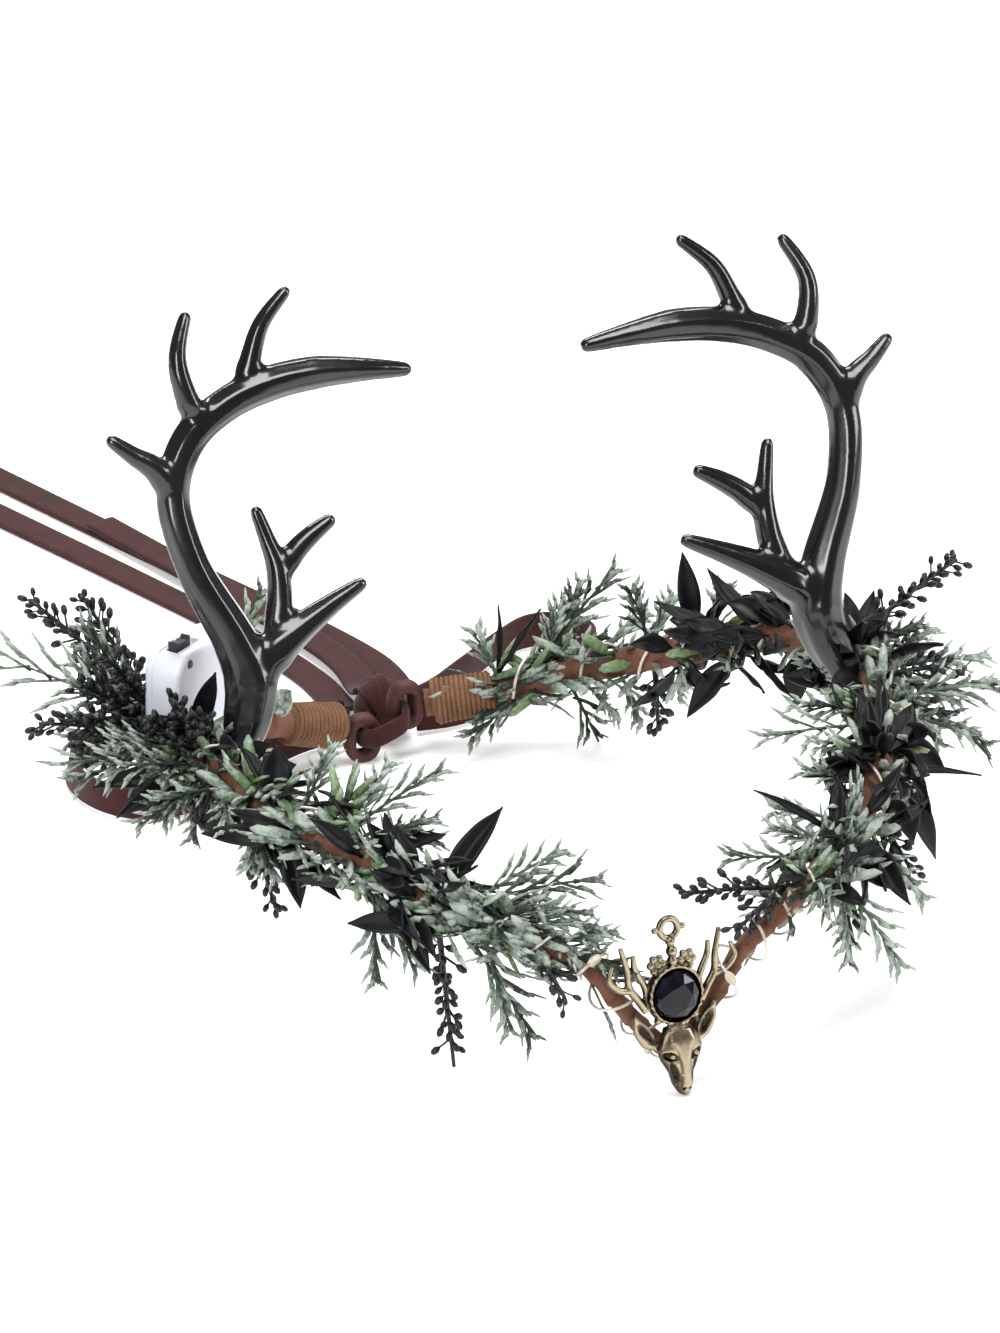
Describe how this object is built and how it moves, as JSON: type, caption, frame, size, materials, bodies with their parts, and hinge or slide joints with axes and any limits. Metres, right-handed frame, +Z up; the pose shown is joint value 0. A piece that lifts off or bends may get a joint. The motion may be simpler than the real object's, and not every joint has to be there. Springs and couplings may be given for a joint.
{
  "type": "antler crown headpiece",
  "caption": "Elf crown: suede-wrapped ring with black antlers, a garland of sprays, leaves and buds, a bronze stag charm, a light box and a ribbon tie.",
  "frame": {"origin": "on the surface that the crown lies on, at the centre of the crown's box without the tie", "axes": "+Z up, the charm at the front faces -Y, the tie lies out towards +Y, +X is the viewer's right"},
  "size_m": [0.2329, 0.4086, 0.1515],
  "materials": {
    "band_suede": "rust-brown suede lace, wound",
    "antler_black": "gloss black moulded resin with lengthwise ridges",
    "charm_bronze": "antique bronze casting, dark in the recesses",
    "stone_black": "polished black cut stone",
    "box_white": "white moulded plastic",
    "switch_black": "black moulded plastic",
    "eyelet_leather": "dark red-brown leather",
    "twine": "waxed tan twine",
    "ribbon_suede": "dark red-brown flat suede lace",
    "leaf_black": "satin black moulded leaves",
    "berry_black": "black moulded buds on thin stems",
    "spray_green": "grey-green moulded sprays with pale frost"
  },
  "bodies": {
    "crown": {"band": "band_suede", "antler_right": "antler_black", "antler_left": "antler_black", "stag_charm": "charm_bronze", "charm_stone": "stone_black", "light_box": "box_white", "eyelet_right": "eyelet_leather", "eyelet_left": "eyelet_leather", "whipping_right": "twine", "whipping_left": "twine", "tie_knot": "ribbon_suede", "tie_loop_left": "ribbon_suede", "tie_loop_right": "ribbon_suede", "tie_tail_lower": "ribbon_suede", "tie_tail_upper": "ribbon_suede", "tie_tail_cut": "ribbon_suede", "leaf_left_low": "leaf_black", "leaf_front_left_low": "leaf_black", "leaf_front_left_round": "leaf_black", "leaf_front_left_in": "leaf_black", "leaf_front_left_up": "leaf_black", "leaf_front_left_down": "leaf_black", "leaf_pale": "spray_green", "leaf_right_base": "leaf_black", "leaf_right_low": "leaf_black", "leaf_right_in": "leaf_black", "leaf_front_right_thin": "leaf_black", "leaf_front_right_low": "leaf_black", "leaf_back_tall": "leaf_black", "leaf_back_low": "leaf_black", "leaf_back_top": "leaf_black", "leaf_back_hang": "leaf_black", "leaf_back_thin": "leaf_black", "berry_left_back": "berry_black", "berry_left_out": "berry_black", "berry_left_hang": "berry_black", "berry_front_left_hang": "berry_black", "berry_front_left_end": "berry_black", "berry_right_out": "berry_black", "berry_right_back": "berry_black", "berry_front_right_low": "berry_black", "berry_front_right_in": "berry_black", "berry_back_down": "berry_black", "spray_left_out": "spray_green", "spray_left_fan": "spray_green", "spray_left_low": "spray_green", "spray_left_behind": "spray_green", "spray_front_left_up": "spray_green", "spray_front_left_in": "spray_green", "spray_front_left_down": "spray_green", "spray_front_left_hang": "spray_green", "spray_front_left_end": "spray_green", "spray_right_out": "spray_green", "spray_right_up": "spray_green", "spray_right_in": "spray_green", "spray_front_right_in": "spray_green", "spray_front_right_down": "spray_green", "spray_back_up": "spray_green", "spray_back_down": "spray_green"},
    "switch": {"light_switch": "switch_black"}
  },
  "joints": [
    {"name": "light_switch_slide", "type": "slide", "parent": "crown", "child": "switch", "axis": [0.788, 0.6157, 0], "range_m": [0, 0.0032]}
  ]
}
